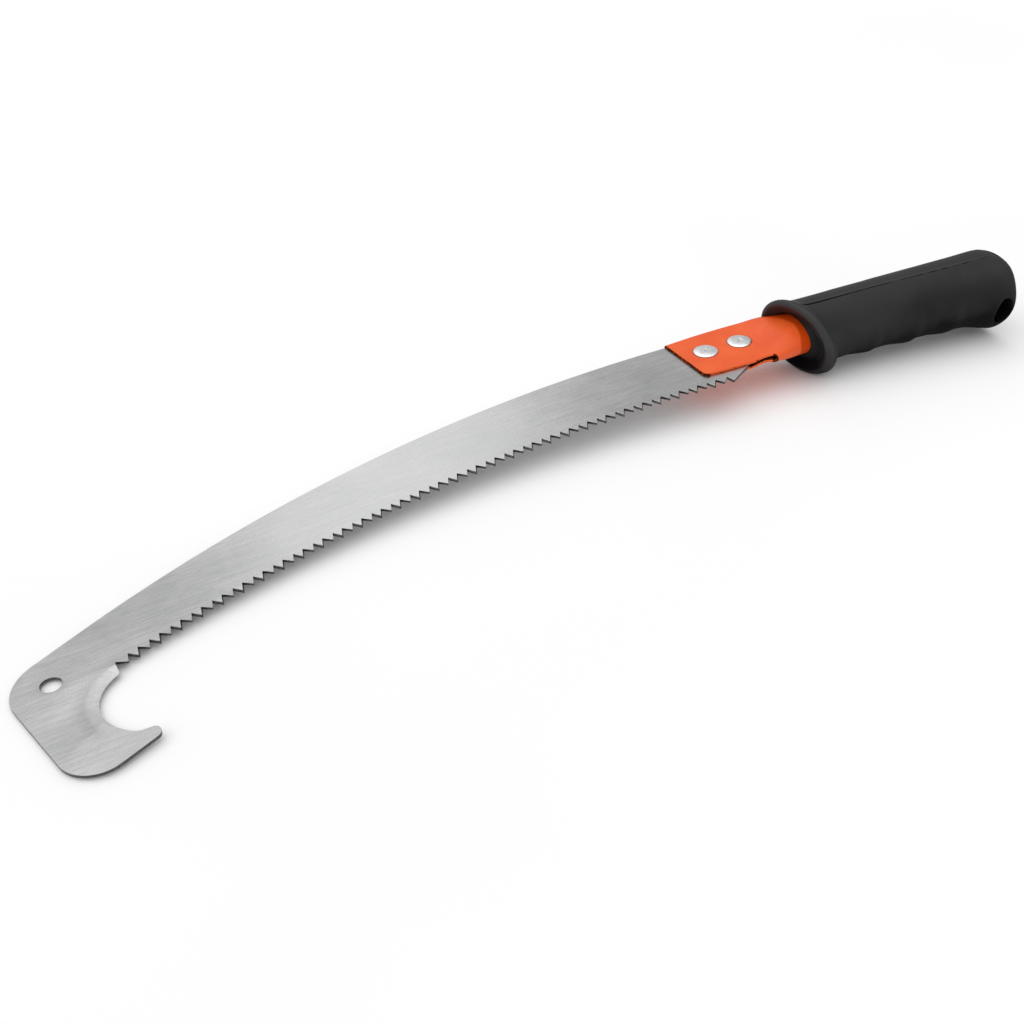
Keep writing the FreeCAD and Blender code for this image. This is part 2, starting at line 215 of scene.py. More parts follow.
def blade_material():
    m, nt, b = new_mat("blade_steel")
    k = Net(nt)
    co = k.coord()
    x, y, z = k.xyz(co)
    # straight brush lines along the blade's length, some long and some short
    s1 = k.math("ADD", k.math("MULTIPLY", x, 0.996), k.math("MULTIPLY", y, 0.087))
    s2 = k.math("SUBTRACT", k.math("MULTIPLY", y, 0.996), k.math("MULTIPLY", x, 0.087))
    fine = k.noise(k.vec(k.math("MULTIPLY", s1, 55.0), k.math("MULTIPLY", s2, 2300.0), k.math("MULTIPLY", z, 300.0)), 1.0, 3.0, 0.65)
    mid = k.noise(k.vec(k.math("MULTIPLY", s1, 24.0), k.math("MULTIPLY", s2, 620.0), k.math("MULTIPLY", z, 100.0)), 1.0, 3.0, 0.6)
    t1 = k.math("ADD", k.math("MULTIPLY", x, 0.94), k.math("MULTIPLY", y, 0.342))
    t2 = k.math("SUBTRACT", k.math("MULTIPLY", y, 0.94), k.math("MULTIPLY", x, 0.342))
    stroke = k.noise(k.vec(k.math("MULTIPLY", t1, 150.0), k.math("MULTIPLY", t2, 1500.0), 0.0), 1.0, 2.0, 0.55)
    cloud = k.noise(co, 26.0, 4.0, 0.6)
    wear_and_painted_light = k.attr("wear_and_painted_light")
    lines = k.math("ADD", k.math("ADD", k.math("MULTIPLY", fine, 0.42), k.math("MULTIPLY", mid, 0.33)), k.math("MULTIPLY", stroke, 0.25))
    tone = k.math("ADD", k.math("MULTIPLY", lines, 0.68), k.math("MULTIPLY", cloud, 0.32))
    base = k.ramp(tone, [(0.34, (0.50, 0.505, 0.512)), (0.50, (0.60, 0.602, 0.606)), (0.66, (0.70, 0.70, 0.697))])
    # the ground band round the hook's throat: brighter and grainy, partly the ground finish and partly a painted
    # highlight, with a dark line behind it
    hx, hy, _ = W(*HOOK_C)
    dx, dy = k.math("SUBTRACT", x, hx), k.math("SUBTRACT", y, hy)
    r = k.math("SQRT", k.math("ADD", k.math("MULTIPLY", dx, dx), k.math("MULTIPLY", dy, dy)))
    side = k.math("ADD", k.math("MULTIPLY", dx, -0.883 / 0.023), k.math("MULTIPLY", dy, 0.469 / 0.023))
    mask = k.map(side, 0.35, 0.90, 0.0, 1.0)
    rr = k.math("ADD", r, k.math("MULTIPLY", k.noise(co, 420.0, 3.0, 0.6), 0.0014))
    band = k.math("MULTIPLY", k.map(rr, 0.0228, 0.0275, 1.0, 0.0), mask)
    dark_line = k.math("MULTIPLY", k.math("MULTIPLY", k.map(rr, 0.0252, 0.0272, 0.0, 1.0), k.map(rr, 0.0276, 0.0325, 1.0, 0.0)), mask)
    ground = k.ramp(k.noise(co, 700.0, 4.0, 0.7), [(0.30, (0.44, 0.44, 0.437)), (0.50, (0.56, 0.56, 0.557)), (0.70, (0.70, 0.70, 0.697))])
    col = k.mix(k.math("MULTIPLY", dark_line, k.map(cloud, 0.35, 0.6, 0.08, 0.28)), base, (0.30, 0.30, 0.305, 1.0))
    col = k.mix(k.math("MULTIPLY", band, 0.7), col, ground)
    # painted shade: a soft grey halo round the punched hang hole, strongest on its tooth side, standing in for the
    # shadow of a slight dimple
    px, py, _ = W(*HANG_HOLE)
    ex, ey = k.math("SUBTRACT", x, px), k.math("SUBTRACT", y, py)
    hr = k.math("SQRT", k.math("ADD", k.math("MULTIPLY", ex, ex), k.math("MULTIPLY", ey, ey)))
    halo = k.math("MULTIPLY", k.map(hr, 0.0046, 0.0078, 1.0, 0.0), k.map(ey, 0.003, -0.004, 0.15, 1.0))
    col = k.mix(k.math("MULTIPLY", halo, 0.42), col, (0.22, 0.22, 0.225, 1.0))
    # painted dark reflection and shade: the tooth flanks, the sheared edge walls and the hang hole's wall are coloured
    # near black
    dark = k.ramp(k.noise(co, 900.0, 2.0, 0.5), [(0.3, (0.030, 0.030, 0.032)), (0.7, (0.095, 0.095, 0.098))])
    col = k.mix(k.map(wear_and_painted_light, -0.30, -0.07, 0.94, 0.0), col, dark)
    nt.links.new(col, b.inputs["Base Color"])
    b.inputs["Metallic"].default_value = 1.0
    rough = k.map(k.math("ADD", k.math("MULTIPLY", lines, 0.6), k.math("MULTIPLY", cloud, 0.4)), 0.34, 0.66, 0.20, 0.34)
    rough = k.math("ADD", rough, k.math("MULTIPLY", k.math("ADD", band, halo), 0.12))
    nt.links.new(rough, b.inputs["Roughness"])
    n1 = k.bump(k.math("ADD", k.math("MULTIPLY", fine, 0.6), k.math("MULTIPLY", stroke, 0.4)), 0.30, 0.00005)
    n2 = k.bump(cloud, 0.18, 0.0006, n1)
    nt.links.new(n2, b.inputs["Normal"])
    return m


def paint_material():
    m, nt, b = new_mat("orange_paint")
    k = Net(nt)
    co = k.coord()
    wear_and_painted_light = k.attr("wear_and_painted_light")
    soft = k.noise(co, 60.0, 3.0, 0.5)
    col = k.ramp(soft, [(0.3, (0.735, 0.083, 0.008)), (0.5, (0.785, 0.098, 0.011)), (0.7, (0.825, 0.116, 0.016))])
    # painted shade: past the crease, where the tube was never pressed flat, the coat is coloured deeper and given less
    # sheen
    x, y, z = k.xyz(co)
    dy = k.math("ADD", y, 0.0045)
    past = k.math("ADD", k.math("MULTIPLY", k.math("MULTIPLY", dy, dy), 22.0), k.math("ADD", x, 0.1202))
    past = k.math("ADD", past, k.math("MULTIPLY", k.noise(co, 120.0, 2.0), 0.0006))
    past = k.map(past, -0.0001, 0.0011, 0.0, 1.0)
    col = k.mix(k.math("MULTIPLY", past, 0.95), col, (0.500, 0.046, 0.001, 1.0))
    # painted shade: a dark ring round each rivet head, where it sits on the cheek
    for rx, ry in ((-2.50, 3.75), (18.06, 3.75)):
        cx, cy, _ = W(rx, ry)
        dx, dy = k.math("SUBTRACT", x, cx), k.math("SUBTRACT", y, cy)
        r = k.math("SQRT", k.math("ADD", k.math("MULTIPLY", dx, dx), k.math("MULTIPLY", dy, dy)))
        r = k.math("ADD", r, k.math("MULTIPLY", k.noise(co, 800.0, 2.0), 0.0003))
        col = k.mix(k.map(r, 0.00655, 0.00725, 0.85, 0.0), col, (0.075, 0.018, 0.008, 1.0))
    # the coat thins and darkens along the sheared edges, with a few chips; the same dark colour on the cut walls, the
    # tube's inside and along the slit on the lower cheek is partly bare steel and partly painted shade
    chips = k.noise(co, 700.0, 4.0, 0.65)
    edge = k.math("MULTIPLY", k.map(wear_and_painted_light, 0.35, 0.95, 0.0, 1.0), k.map(chips, 0.34, 0.50, 0.35, 1.0))
    under = k.ramp(k.noise(co, 1300.0, 3.0, 0.6), [(0.35, (0.016, 0.006, 0.004)), (0.62, (0.050, 0.013, 0.006)), (0.8, (0.16, 0.05, 0.025))])
    col = k.mix(edge, col, under)
    # small nicks on the flat cheeks near the rivets
    nick = k.node("ShaderNodeTexVoronoi", feature="F1")
    nt.links.new(co, nick.inputs["Vector"])
    nick.inputs["Scale"].default_value = 130.0
    nicks = k.math("MULTIPLY", k.map(nick.outputs["Distance"], 0.0, 0.05, 1.0, 0.0), k.map(k.noise(co, 35.0, 2.0), 0.55, 0.62, 0.0, 1.0))
    col = k.mix(k.math("MULTIPLY", nicks, 0.75), col, (0.20, 0.045, 0.018, 1.0))
    nt.links.new(col, b.inputs["Base Color"])
    rough = k.map(k.noise(co, 170.0, 4.0, 0.6), 0.3, 0.7, 0.38, 0.52)
    rough = k.math("ADD", rough, k.math("MULTIPLY", edge, 0.3))
    nt.links.new(rough, b.inputs["Roughness"])
    nt.links.new(k.map(k.math("ADD", edge, k.math("MULTIPLY", past, 0.6)), 0.0, 0.8, 0.36, 0.0), b.inputs["Specular IOR Level"])
    nt.links.new(k.map(k.math("ADD", edge, past), 0.0, 0.6, 0.07, 0.0), b.inputs["Coat Weight"])
    b.inputs["Coat Roughness"].default_value = 0.25
    peel = k.noise(co, 620.0, 2.0, 0.45)
    n1 = k.bump(peel, 0.30, 0.00022)
    n2 = k.bump(nicks, 0.5, 0.00010, n1)
    n3 = k.bump(soft, 0.20, 0.0010, n2)
    nt.links.new(n3, b.inputs["Normal"])
    return m


def zinc_material():
    m, nt, b = new_mat("zinc_plate")
    k = Net(nt)
    co = k.coord()
    wear_and_painted_light = k.attr("wear_and_painted_light")
    f = k.noise(co, 330.0, 4.0, 0.62, 0.6)
    col = k.ramp(f, [(0.30, (0.68, 0.72, 0.76)), (0.45, (0.84, 0.87, 0.89)), (0.58, (0.95, 0.95, 0.94)), (0.74, (0.93, 0.89, 0.83))])
    # painted shade: the head's lower rim, where it meets the cheek, is darkened; the centre and the peening dents are
    # darkened too
    col = k.mix(k.map(wear_and_painted_light, 0.3, 1.0, 0.0, 0.85), col, (0.16, 0.17, 0.17, 1.0))
    nt.links.new(col, b.inputs["Base Color"])
    b.inputs["Metallic"].default_value = 1.0
    nt.links.new(k.map(k.noise(co, 800.0, 3.0, 0.6), 0.3, 0.7, 0.24, 0.42), b.inputs["Roughness"])
    n1 = k.bump(k.noise(co, 1500.0, 3.0, 0.6), 0.3, 0.00008)
    n2 = k.bump(f, 0.35, 0.0003, n1)
    nt.links.new(n2, b.inputs["Normal"])
    return m


def rubber_material():
    m, nt, b = new_mat("black_rubber")
    k = Net(nt)
    co = k.coord()
    wear_and_painted_light = k.attr("wear_and_painted_light")
    big = k.noise(co, 28.0, 3.0, 0.55)
    fine = k.noise(co, 900.0, 3.0, 0.6)
    tone = k.math("ADD", k.math("MULTIPLY", big, 0.7), k.math("MULTIPLY", fine, 0.3))
    col = k.ramp(tone, [(0.32, (0.0070, 0.0073, 0.0084)), (0.52, (0.0108, 0.0112, 0.0126)), (0.70, (0.0160, 0.0164, 0.0178))])
    x, y, z = k.xyz(co)
    # painted shade: darker towards the grip's underside and a little towards its heel end, set by position; it also
    # dims the sheen
    low = k.math("ADD", z, k.math("MULTIPLY", k.math("ABSOLUTE", y), 0.35))
    low = k.math("ADD", low, k.math("MULTIPLY", k.math("ADD", x, 0.05), -0.10))
    low = k.math("ADD", low, k.math("MULTIPLY", k.math("SUBTRACT", big, 0.5), 0.020))
    shade = k.map(low, -0.006, 0.017, 0.10, 1.0)
    col = k.mix(k.map(shade, 0.10, 1.0, 0.85, 0.0), col, (0.0030, 0.0030, 0.0033, 1.0))
    # painted shade: darker and duller in the bowl, up the sleeve's inside, in the end bore, in the hang opening and in
    # the mould line's groove
    col = k.mix(k.map(wear_and_painted_light, 0.15, 0.6, 0.0, 0.95), col, (0.0018, 0.0018, 0.002, 1.0))
    # painted highlight: lighter grey on the rolled lip, beside the mould line and round the heel's outer edge
    col = k.mix(k.map(wear_and_painted_light, -1.0, -0.1, 0.75, 0.0), col, (0.070, 0.071, 0.070, 1.0))
    nt.links.new(col, b.inputs["Base Color"])
    rough = k.map(k.math("ADD", k.math("MULTIPLY", big, 0.55), k.math("MULTIPLY", fine, 0.45)), 0.32, 0.68, 0.50, 0.66)
    nt.links.new(rough, b.inputs["Roughness"])
    nt.links.new(k.math("MULTIPLY", k.map(wear_and_painted_light, 0.15, 0.6, 0.36, 0.03), shade), b.inputs["Specular IOR Level"])
    grain = k.noise(co, 2600.0, 3.0, 0.62)
    n1 = k.bump(grain, 0.35, 0.00012)
    n2 = k.bump(k.noise(co, 240.0, 3.0, 0.55), 0.25, 0.00035, n1)
    nt.links.new(n2, b.inputs["Normal"])
    return m


STEEL, PAINT, ZINC, RUBBER = blade_material(), paint_material(), zinc_material(), rubber_material()

# ---- blade ------------------------------------------------------------------
HALF = 0.75
TIP_C = (-32.65, 738.55)
TIP_R = 704.70
TOOTH_N = 64
TOOTH_DEPTH = 4.45
FIRST_TIP_X, HEEL_X = -326.10, -4.11
SET = 0.28


def spine_y(x):
    return SPINE_C[1] - sqrt(SPINE_R ** 2 - (x - SPINE_C[0]) ** 2)


def meet(a, b, c, d):
    x1, y1, x2, y2 = a[0], a[1], b[0], b[1]
    x3, y3, x4, y4 = c[0], c[1], d[0], d[1]
    den = (x1 - x2) * (y3 - y4) - (y1 - y2) * (x3 - x4)
    return (((x1 * y2 - y1 * x2) * (x3 - x4) - (x1 - x2) * (x3 * y4 - y3 * x4)) / den,
            ((x1 * y2 - y1 * x2) * (y3 - y4) - (y1 - y2) * (x3 * y4 - y3 * x4)) / den)


def fillet(a, p, b, r, n):
    A, Pp, B = Vector(a), Vector(p), Vector(b)
    u, v = (A - Pp), (B - Pp)
    la, lb = u.length, v.length
    u.normalize()
    v.normalize()
    ang = acos(max(-1, min(1, u.dot(v))))
    from math import tan
    t = min(r / tan(ang / 2), 0.49 * la, 0.49 * lb)
    rr = t * tan(ang / 2)
    m = (u + v).normalized()
    c = Pp + m * (rr / sin(ang / 2))
    s, e = Pp + u * t - c, Pp + v * t - c
    a0, a1 = atan2(s.y, s.x), atan2(e.y, e.x)
    d = (a1 - a0 + pi) % (2 * pi) - pi
    return [(c.x + rr * cos(a0 + d * i / n), c.y + rr * sin(a0 + d * i / n)) for i in range(n + 1)]


def build_blade():
    DEF = (0.10, 0.65, 0.10, -0.65)
    out, marks = [], {}

    def add(p, e=DEF, key=None):
        if key is not None:
            marks[key] = len(out)
        out.append((p[0], p[1], e))

    a0 = atan2(-sqrt(TIP_R ** 2 - (FIRST_TIP_X - TIP_C[0]) ** 2), FIRST_TIP_X - TIP_C[0])
    a1 = atan2(-sqrt(TIP_R ** 2 - (HEEL_X - TIP_C[0]) ** 2), HEEL_X - TIP_C[0])
    step = (a1 - a0) / (TOOTH_N - 1)
    tips = [(TIP_C[0] + TIP_R * cos(a0 + step * i), TIP_C[1] + TIP_R * sin(a0 + step * i)) for i in range(TOOTH_N)]
    gul = [(-331.25, 95.3)]
    R2 = TIP_R + TOOTH_DEPTH
    for i in range(TOOTH_N - 1):
        f = 0.5 if i < TOOTH_N - 2 else 0.72
        gul.append((TIP_C[0] + R2 * cos(a0 + (i + f) * step), TIP_C[1] + R2 * sin(a0 + (i + f) * step)))
    FIRST = 3                                  # the regular strip starts at this gullet

    def back_pt(i):
        g = Vector(gul[i]) - Vector(SPINE_C)
        g.normalize()
        return (SPINE_C[0] + g.x * SPINE_R, SPINE_C[1] + g.y * SPINE_R)

    BE = -343.0
    slope = (BE - SPINE_C[0]) / sqrt(SPINE_R ** 2 - (BE - SPINE_C[0]) ** 2)
    t1 = (BE, spine_y(BE))
    t2 = (BE - 20.0, t1[1] - slope * 20.0)
    ea, eb, ba, bb = (-373.2, 103.4), (-362.7, 138.3), (-339.9, 153.1), (-325.6, 146.1)
    c1, c2 = meet(t1, t2, ea, eb), meet(ea, eb, ba, bb)

    def on_throat(deg):
        return HOOK_C[0] + HOOK_R * cos(radians(deg)), HOOK_C[1] + HOOK_R * sin(radians(deg))

    for i in range(TOOTH_N - 1, FIRST - 1, -1):
        add(back_pt(i), key=("B", i))
    xb = back_pt(FIRST)[0]
    n = 4
    for j in range(1, n + 1):
        x = lerp(xb, BE, j / n)
        add((x, spine_y(x)))
    for p in fillet(t1, c1, c2, 21.2, 20):
        add(p)
    mid12 = ((c1[0] + c2[0]) / 2, (c1[1] + c2[1]) / 2)
    add(mid12)
    p3 = (-322.2, 144.45)
    for p in fillet(c1, c2, p3, 20.0, 20):
        add(p)
    p4 = (-323.0, 139.25)
    for p in fillet(c2, p3, p4, 3.2, 10):
        add(p)
    p5 = (-331.4, 139.3)
    for p in fillet(p3, p4, p5, 2.3, 10):
        add(p)
    lo = on_throat(137.0)
    for p in fillet(p4, p5, lo, 9.0, 8):
        add(p)
    NT = 44
    for j in range(NT + 1):
        deg = lerp(137.0, 240.5, j / NT)
        w = 4.9 * smooth01((deg - 139.0) / 50.0)
        w = max(w, 0.10)
        zt = 0.65 if w <= 0.1001 else 0.65 - 0.75 * (w - 0.1) / 4.8
        add(on_throat(deg), (w, zt, 0.10, -0.65), key=("H", j))
    nib = fillet(on_throat(240.5), (-330.7, 100.9), gul[0], 0.5, 4)
    for j, p in enumerate(nib):
        e = (0.10, -0.10, 0.10, -0.65) if j < 4 else DEF
        add(p, e, key=("N", j))
    for i in range(TOOTH_N - 1):
        top = (i % 2 == 1)
        e = (0.42, -0.20, 0.05, -0.70) if top else (0.05, 0.70, 0.42, -0.10)
        add(gul[i], e, key=("G", i))
        add(tips[i], e, key=("T", i))
    e = (0.42, -0.20, 0.05, -0.70)
    add(gul[TOOTH_N - 1], e, key=("G", TOOTH_N - 1))
    add(tips[TOOTH_N - 1], (0.05, 0.70, 0.05, -0.70), key=("T", TOOTH_N - 1))
    r1, r2, r3, r4 = (17.5, 20.7), (26.0, 15.5), (26.0, -8.0), (20.0, spine_y(20.0))
    for p in fillet(tips[-1], r1, r2, 2.0, 5):
        add(p)
    for p in fillet(r1, r2, r3, 3.0, 5):
        add(p)
    for p in fillet(r2, r3, r4, 4.0, 6):
        add(p)
    xb = back_pt(TOOTH_N - 1)[0]
    for j in range(0, 6):
        x = lerp(20.0, xb, j / 6.0)
        add((x, spine_y(x)))

    N = len(out)
    area = sum(out[i][0] * out[(i + 1) % N][1] - out[(i + 1) % N][0] * out[i][1] for i in range(N)) / 2
    sgn = 1.0 if area > 0 else -1.0

    def normal(i):
        p, q = out[i], out[(i + 1) % N]
        d = Vector((q[0] - p[0], q[1] - p[1]))
        if d.length < 1e-9:
            return Vector((0, 0))
        d.normalize()
        return Vector((-d.y, d.x)) * sgn

    nrm = [normal(i) for i in range(N)]

    def inset(i, k):
        """Where the lines moved in by each side's own amount cross."""
        n1, n2 = nrm[i - 1], nrm[i]
        d1, d2 = out[i - 1][2][k], out[i][2][k]
        det = n1.x * n2.y - n1.y * n2.x
        if abs(det) < 0.12:
            n_ = (n1 + n2).normalized()
            off = n_ * ((d1 + d2) / 2)
        else:
            off = Vector(((d1 * n2.y - d2 * n1.y) / det, (n1.x * d2 - n2.x * d1) / det))
            lim = 3.2 * max(d1, d2, 0.1)
            if off.length > lim:
                off = off * (lim / off.length)
        return (out[i][0] + off.x, out[i][1] + off.y)

    def set_dz(x, y):
        if x < -331.5 or x > HEEL_X + 1.0 or y < 20:
            return 0.0
        r = sqrt((x - TIP_C[0]) ** 2 + (y - TIP_C[1]) ** 2)
        h = (TIP_R + TOOTH_DEPTH - r) / TOOTH_DEPTH
        if h <= 0.02 or h > 1.3 or (x < -329.4):
            return 0.0
        a = atan2(y - TIP_C[1], x - TIP_C[0])
        i = int(round((a - a0) / step))
        if i < 0 or i > TOOTH_N - 2:
            return 0.0
        return (SET if i % 2 == 0 else -SET) * min(1.0, h)

    verts, wear_and_painted_light = [], []

    def V3(x, y, z, w=0.0):
        verts.append(W(x, y, z + set_dz(x, y)))
        wear_and_painted_light.append(w)
        return len(verts) - 1

    isn = {v: k for k, v in marks.items()}

    # values below zero colour the blade's edge walls near black (painted dark reflection and shade); the throat and nib
    # keep bright steel
    def wear_and_painted_light_of(i):
        key = isn.get(i)
        if key and key[0] in ("G", "T"):
            return -0.80
        if key and key[0] in ("H", "N"):
            return 1.0
        return -0.55
    top, us, ls, bot = [], [], [], []
    for i in range(N):
        x, y, e = out[i]
        e0 = out[i - 1][2]
        p = inset(i, 0)
        key = isn.get(i)
        if key and key[0] == "N":                # the ground band ends on the short flank
            p = (-331.30, 97.0 - 0.25 * key[1])
        top.append(V3(p[0], p[1], HALF, 0.0))
        us.append(V3(x, y, (e[1] + e0[1]) / 2, wear_and_painted_light_of(i)))
        ls.append(V3(x, y, (e[3] + e0[3]) / 2, wear_and_painted_light_of(i)))
        p = inset(i, 2)
        bot.append(V3(p[0], p[1], -HALF, 0.0))
    faces = []
    for i in range(N):
        j = (i + 1) % N
        faces += [(top[i], top[j], us[j], us[i]), (us[i], us[j], ls[j], ls[i]), (ls[i], ls[j], bot[j], bot[i])]
    # the hang hole's wall, with its edges broken
    hn = 56
    hole = {}
    for nm, rr, z, w in (("t", HANG_HOLE_R + 0.16, HALF, 0.0), ("u", HANG_HOLE_R, HALF - 0.14, -0.5),
                         ("l", HANG_HOLE_R, -HALF + 0.14, -0.5), ("b", HANG_HOLE_R + 0.16, -HALF, 0.0)):
        hole[nm] = [V3(HANG_HOLE[0] + rr * cos(2 * pi * j / hn), HANG_HOLE[1] + rr * sin(2 * pi * j / hn), z, w) for j in range(hn)]
    for j in range(hn):
        q = (j + 1) % hn
        for a, b in (("t", "u"), ("u", "l"), ("l", "b")):
            faces.append((hole[a][j], hole[a][q], hole[b][q], hole[b][j]))
    ROWS = 6
    for side, ring in (("t", top), ("b", bot)):
        z = HALF if side == "t" else -HALF
        grid = {}
        for i in range(FIRST, TOOTH_N):
            g, b = ring[marks[("G", i)]], ring[marks[("B", i)]]
            gv, bv = verts[g], verts[b]
            col = [g]
            for r in range(1, ROWS):
                t = r / ROWS
                verts.append((lerp(gv[0], bv[0], t), lerp(gv[1], bv[1], t), z / 1000.0))
                wear_and_painted_light.append(0.0)
                col.append(len(verts) - 1)
            col.append(b)
            grid[i] = col
        for i in range(FIRST, TOOTH_N - 1):
            for r in range(ROWS):
                faces.append((grid[i][r], grid[i + 1][r], grid[i + 1][r + 1], grid[i][r + 1]))
        for i in range(TOOTH_N - 1):
            faces.append((ring[marks[("G", i)]], ring[marks[("T", i)]], ring[marks[("G", i + 1)]]))
        # hook end
        loop = []
        i = marks[("B", FIRST)]
        while i <= marks[("G", 0)]:
            loop.append(ring[i])
            i += 1
        for g in range(1, FIRST):
            loop.append(ring[marks[("G", g)]])
        loop += grid[FIRST][:-1]
        hl = hole[side]
        tri = geometry.tessellate_polygon([[Vector(verts[v]) for v in loop], [Vector(verts[v]) for v in hl]])
        both = loop + hl
        faces += [tuple(both[q] for q in t) for t in tri]
        # root end
        loop = [ring[marks[("G", TOOTH_N - 1)]]]
        i = marks[("T", TOOTH_N - 1)]
        while i < N:
            loop.append(ring[i])
            i += 1
        loop += list(reversed(grid[TOOTH_N - 1]))[:-1]
        tri = geometry.tessellate_polygon([[Vector(verts[v]) for v in loop]])
        faces += [tuple(loop[q] for q in t) for t in tri]
    return make("saw_blade", verts, faces, STEEL, "blade", sharp=12.0, attr=wear_and_painted_light)


BLADE = build_blade()

# ---- socket tube --------------------------------------------------------------
TUBE_R, WALL, CHEEK = 13.70, 1.40, 2.15
SX = (-12.0, -6.0, 2.0, 8.0, 13.0, 14.6, 16.0, 17.5, 19.5, 21.5, 23.5, 25.0, 26.2, 27.0, 27.45, 27.6)
SY = (24.4, 24.85, 25.1, 25.25, 25.35, 25.2, 24.8, 24.35, 24.0, 23.85, 23.95, 24.35, 25.05, 25.95, 27.0, 28.2)
SLIT_X1 = 27.6
TX = (-26, -14, 0, 10, 20, 24, 28, 32, 36, 40, 44, 48, 52, 56, 59, 62)
TH = (2.15, 2.15, 2.15, 2.15, 2.17, 2.38, 3.15, 4.35, 5.60, 6.80, 7.95, 9.1, 10.7, 12.3, 13.2, 13.7)
TA = (25.4, 25.4, 25.4, 25.4, 25.3, 24.9, 23.8, 22.3, 20.5, 18.5, 16.4, 14.2, 12.0, 9.9, 8.6, 7.8)
TB = (-11.8, -12.1, -13.0, -13.29, -13.19, -12.8, -11.7, -10.0, -8.0, -5.6, -3.0, 0.0, 3.0, 5.6, 7.0, 7.8)
CREASE_X = 50.5


def tube_shape(x):
    """(height, tooth-side end centre, fold end centre, half width, flat half width, how creased)"""
    h = curve1(TX, TH, x)
    ca, cb = curve1(TX, TA, x), curve1(TX, TB, x)
    if x >= 62:
        return TUBE_R, Y0, Y0, TUBE_R, 0.0, 1.0
    half = (ca - cb) / 2 + curve1(TX, (2.15, 2.15, 2.15, 2.15, 2.15, 2.35, 3.1, 4.3, 5.7, 7.1, 8.5, 9.9, 11.3, 12.5, 13.25, 13.7), x)
    fl = 0.0
    if x < CREASE_X:
        full = (ca - cb) / 2
        t = max(0.0, (x - 33.0) / (CREASE_X - 33.0))
        fl = full * sqrt(max(0.0, 1 - t * t)) if t > 0 else full
        fl = min(fl, 0.985 * half)
    return h, ca, cb, half, fl, smooth01((x - 22.0) / 9.0)


def end_arc(x, t, inset, side):
    """Point on the rounded end, t = 0 at the extreme, 1 where it meets the flat."""
    h, ca, cb, half, fl, k = tube_shape(x)
    yc = (ca + cb) / 2
    r = max(0.05, h - inset)
    ph = t * pi / 2
    c = (ca - cb) / 2
    p1 = (c + r * cos(ph), r * sin(ph))
    w, f = max(half - inset, 0.1), min(fl, 0.97 * (half - inset))
    t0 = acos(min(1.0, f / w))
    H = r / sin(t0)
    p2 = (w * cos(t0 * t), H * sin(t0 * t))
    y, z = lerp(p1[0], p2[0], k), lerp(p1[1], p2[1], k)
    return yc + side * y, z


def flat_y(x, inset):
    """Half width of the flat at this inset."""
    h, ca, cb, half, fl, k = tube_shape(x)
    return lerp((ca - cb) / 2, min(fl, 0.97 * (half - inset)), k), (ca + cb) / 2, max(0.05, h - inset)


NA, NB = 12, 22                       # columns on an end arc, and on a flat


def slit_y(x):
    """Working y above which the slit has removed the wall; None where the tube is closed."""
    if x > SLIT_X1:
        return None
    i = 0
    while i < len(SX) - 2 and x > SX[i + 1]:
        i += 1
    return lerp(SY[i], SY[i + 1], max(0.0, min(1.0, (x - SX[i]) / (SX[i + 1] - SX[i]))))


def section(x, inset, pull=0.0):
    """Outline from the tooth side over the top, round the fold and back underneath: (y, z) points."""
    ys = slit_y(x)
    f, yc, r = flat_y(x, inset)
    pts = []
    arc = [end_arc(x, j / NA, inset, 1.0) for j in range(NA + 1)]
    if ys is None:
        first = arc
        lim = None
    else:
        lim = ys - pull
        if lim <= yc + f:                       # the cut lies on the flat cheek
            first = [(lim, r)] * (NA + 1)
            f_top = lim - yc
        else:
            keep = [p for p in arc if p[0] < lim]
            a = next((q for q in range(len(arc) - 1) if arc[q][0] >= lim > arc[q + 1][0]), 0)
            t = (arc[a][0] - lim) / max(1e-9, arc[a][0] - arc[a + 1][0])
            ta = max(0.0, (a + t) / NA)
            first = [end_arc(x, lerp(ta, 1.0, j / NA), inset, 1.0) for j in range(NA + 1)]
    start = first[-1][0]
    end = yc - f
    top = [(lerp(start, end, j / NB), r) for j in range(1, NB)]
    fold = [end_arc(x, 1 - j / NA, inset, -1.0) for j in range(NA + 1)]
    half = first + top + fold
    under = [(y, -z) for y, z in reversed(half[:-1])]
    return half + under


def front_x(y):
    """The sheared front edge, with its rounded lower corner."""
    x = -16.45 + 0.062 * y
    cr = 2.6
    if y > 24.4 - cr:
        d = min(cr, y - (24.4 - cr))
        x += cr - sqrt(max(0.0, cr * cr - d * d))
    return x


